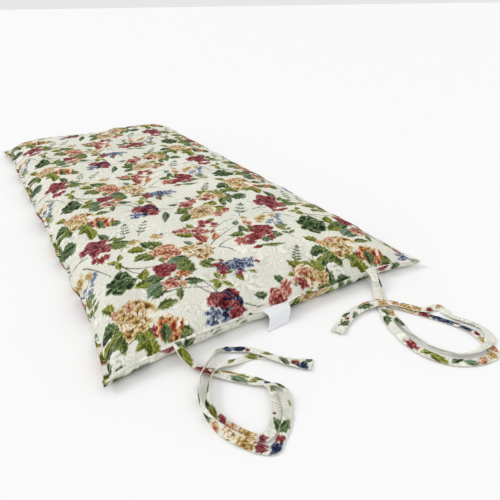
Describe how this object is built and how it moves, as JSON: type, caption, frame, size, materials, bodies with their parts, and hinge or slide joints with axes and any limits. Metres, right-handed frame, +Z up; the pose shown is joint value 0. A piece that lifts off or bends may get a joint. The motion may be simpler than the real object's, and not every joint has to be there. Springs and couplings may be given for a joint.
{
  "type": "futon mattress",
  "caption": "Thin roll-up futon mattress in floral tapestry cloth, with a batting core, two pairs of seam ties and a sewn-in care label.",
  "frame": {"origin": "on the floor under the middle of the mattress's underside", "axes": "+X across the width, +Y along the length away from the tied end, +Z up"},
  "size_m": [0.5994, 1.4946, 0.0572],
  "materials": {
    "tapestry_cloth": "woven floral jacquard, matt",
    "tie_cloth": "folded strap of the same woven cloth",
    "batting": "needled fibre wadding",
    "thread": "spun polyester sewing thread",
    "label_satin": "white woven satin, blank"
  },
  "bodies": {
    "mattress": {"top_panel": "tapestry_cloth", "bottom_panel": "tapestry_cloth", "upper_batt": "batting", "core_batt": "batting", "lower_batt": "batting", "perimeter_seam_stitches": "thread", "left_tie_bar_tack": "thread", "right_tie_bar_tack": "thread", "care_label_root": "label_satin", "care_label_stitches": "thread", "left_tie_outer_strap": "tie_cloth", "left_tie_inner_strap": "tie_cloth", "right_tie_outer_strap": "tie_cloth", "right_tie_inner_strap": "tie_cloth"},
    "care_label": {"care_label_flap": "label_satin"}
  },
  "joints": [
    {"name": "care_label_flip", "type": "hinge", "parent": "mattress", "child": "care_label", "pos_m": [-0.018, -0.61905, 0.018], "axis": [-1, 0, 0], "range_deg": [0, 150]}
  ]
}
